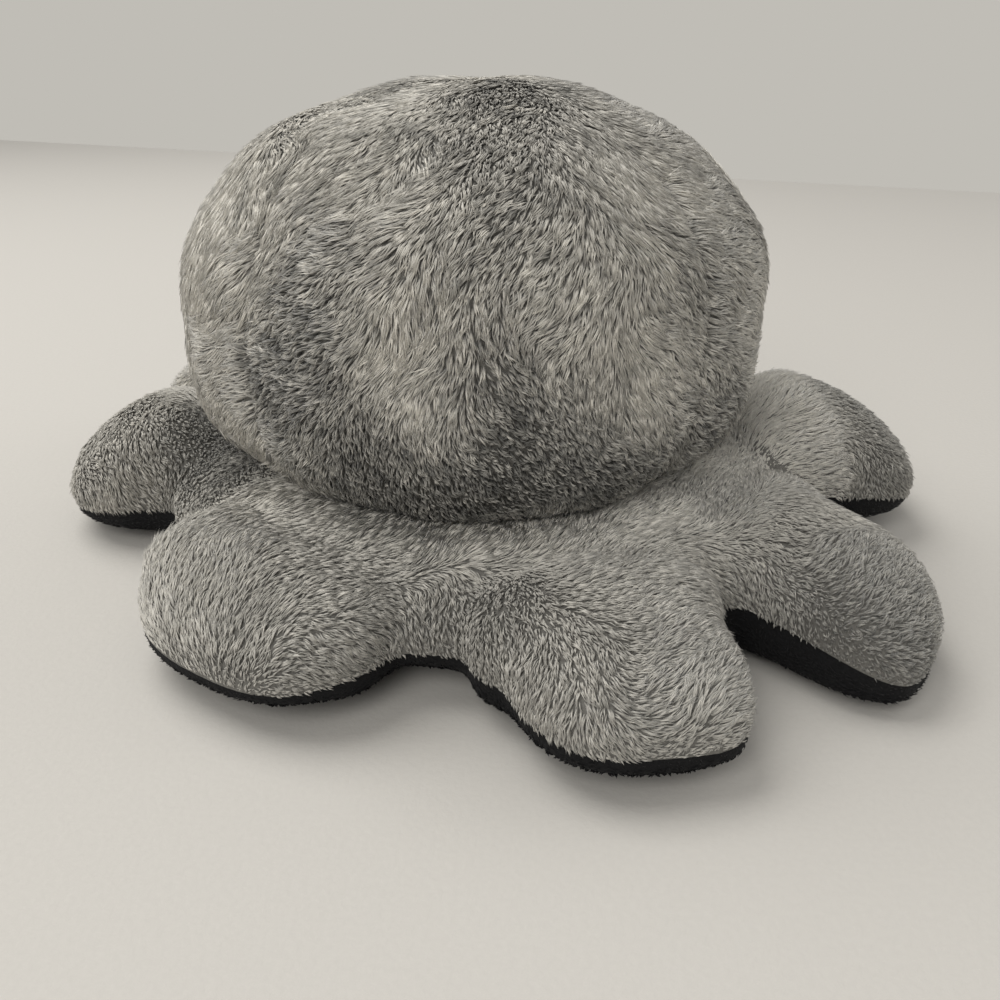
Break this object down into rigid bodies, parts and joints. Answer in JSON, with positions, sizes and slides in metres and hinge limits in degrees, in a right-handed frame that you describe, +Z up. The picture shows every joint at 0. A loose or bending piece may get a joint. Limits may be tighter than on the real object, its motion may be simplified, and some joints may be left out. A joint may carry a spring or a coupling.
{
  "type": "plush octopus",
  "caption": "Reversible stuffed octopus, grey side out: a squat round head on a ring of short stubby tentacles, grey above and black below, the black head tucked inside as an open pocket.",
  "frame": {"origin": "the point on the floor in the middle of the toy's box, within about a millimetre of the axis of the head", "axes": "+Z up along the axis of the head, -Y towards the viewer of the picture, +X to that viewer's right"},
  "size_m": [0.2021, 0.1907, 0.1003],
  "materials": {
    "grey_plush": "short dense grey plush pile, softly clumped",
    "black_plush": "short dense black plush pile",
    "fibre_filling": "loose white polyester fibre",
    "grey_thread": "polyester sewing thread",
    "black_thread": "polyester sewing thread"
  },
  "bodies": {
    "root": {"head_gore_1": "grey_plush", "head_gore_2": "grey_plush", "head_gore_3": "grey_plush", "head_gore_4": "grey_plush", "inner_head_gore_1": "black_plush", "inner_head_gore_2": "black_plush", "inner_head_gore_3": "black_plush", "inner_head_gore_4": "black_plush", "head_filling": "fibre_filling", "skirt_top": "grey_plush", "skirt_bottom": "black_plush", "skirt_filling": "fibre_filling", "neck_seam_thread": "grey_thread", "pocket_seam_thread": "black_thread"},
    "tentacle_1": {"tentacle_1_top": "grey_plush", "tentacle_1_bottom": "black_plush", "tentacle_1_filling": "fibre_filling"},
    "tentacle_2": {"tentacle_2_top": "grey_plush", "tentacle_2_bottom": "black_plush", "tentacle_2_filling": "fibre_filling"},
    "tentacle_3": {"tentacle_3_top": "grey_plush", "tentacle_3_bottom": "black_plush", "tentacle_3_filling": "fibre_filling"},
    "tentacle_4": {"tentacle_4_top": "grey_plush", "tentacle_4_bottom": "black_plush", "tentacle_4_filling": "fibre_filling"},
    "tentacle_5": {"tentacle_5_top": "grey_plush", "tentacle_5_bottom": "black_plush", "tentacle_5_filling": "fibre_filling"},
    "tentacle_6": {"tentacle_6_top": "grey_plush", "tentacle_6_bottom": "black_plush", "tentacle_6_filling": "fibre_filling"},
    "tentacle_7": {"tentacle_7_top": "grey_plush", "tentacle_7_bottom": "black_plush", "tentacle_7_filling": "fibre_filling"},
    "tentacle_8": {"tentacle_8_top": "grey_plush", "tentacle_8_bottom": "black_plush", "tentacle_8_filling": "fibre_filling"}
  },
  "joints": [
    {"name": "tentacle_1_bend", "type": "hinge", "parent": "root", "child": "tentacle_1", "pos_m": [-0.06584, 0.0046, 0.0115], "axis": [0.0698, 0.9976, 0], "range_deg": [-15, 40], "stiffness_Nm_per_rad": 0.03},
    {"name": "tentacle_2_bend", "type": "hinge", "parent": "root", "child": "tentacle_2", "pos_m": [-0.03691, -0.05472, 0.0115], "axis": [-0.829, 0.5592, 0], "range_deg": [-15, 40], "stiffness_Nm_per_rad": 0.03},
    {"name": "tentacle_3_bend", "type": "hinge", "parent": "root", "child": "tentacle_3", "pos_m": [0.0193, -0.06312, 0.0115], "axis": [-0.9563, -0.2924, 0], "range_deg": [-15, 40], "stiffness_Nm_per_rad": 0.03},
    {"name": "tentacle_4_bend", "type": "hinge", "parent": "root", "child": "tentacle_4", "pos_m": [0.05339, -0.03879, 0.0115], "axis": [-0.5878, -0.809, 0], "range_deg": [-15, 40], "stiffness_Nm_per_rad": 0.03},
    {"name": "tentacle_5_bend", "type": "hinge", "parent": "root", "child": "tentacle_5", "pos_m": [0.06564, 0.0069, 0.0115], "axis": [0.1045, -0.9945, 0], "range_deg": [-15, 40], "stiffness_Nm_per_rad": 0.03},
    {"name": "tentacle_6_bend", "type": "hinge", "parent": "root", "child": "tentacle_6", "pos_m": [0.04063, 0.05201, 0.0115], "axis": [0.788, -0.6157, 0], "range_deg": [-15, 40], "stiffness_Nm_per_rad": 0.03},
    {"name": "tentacle_7_bend", "type": "hinge", "parent": "root", "child": "tentacle_7", "pos_m": [-0.0046, 0.06584, 0.0115], "axis": [0.9976, 0.0698, 0], "range_deg": [-15, 40], "stiffness_Nm_per_rad": 0.03},
    {"name": "tentacle_8_bend", "type": "hinge", "parent": "root", "child": "tentacle_8", "pos_m": [-0.04748, 0.04585, 0.0115], "axis": [0.6947, 0.7193, 0], "range_deg": [-15, 40], "stiffness_Nm_per_rad": 0.03}
  ]
}
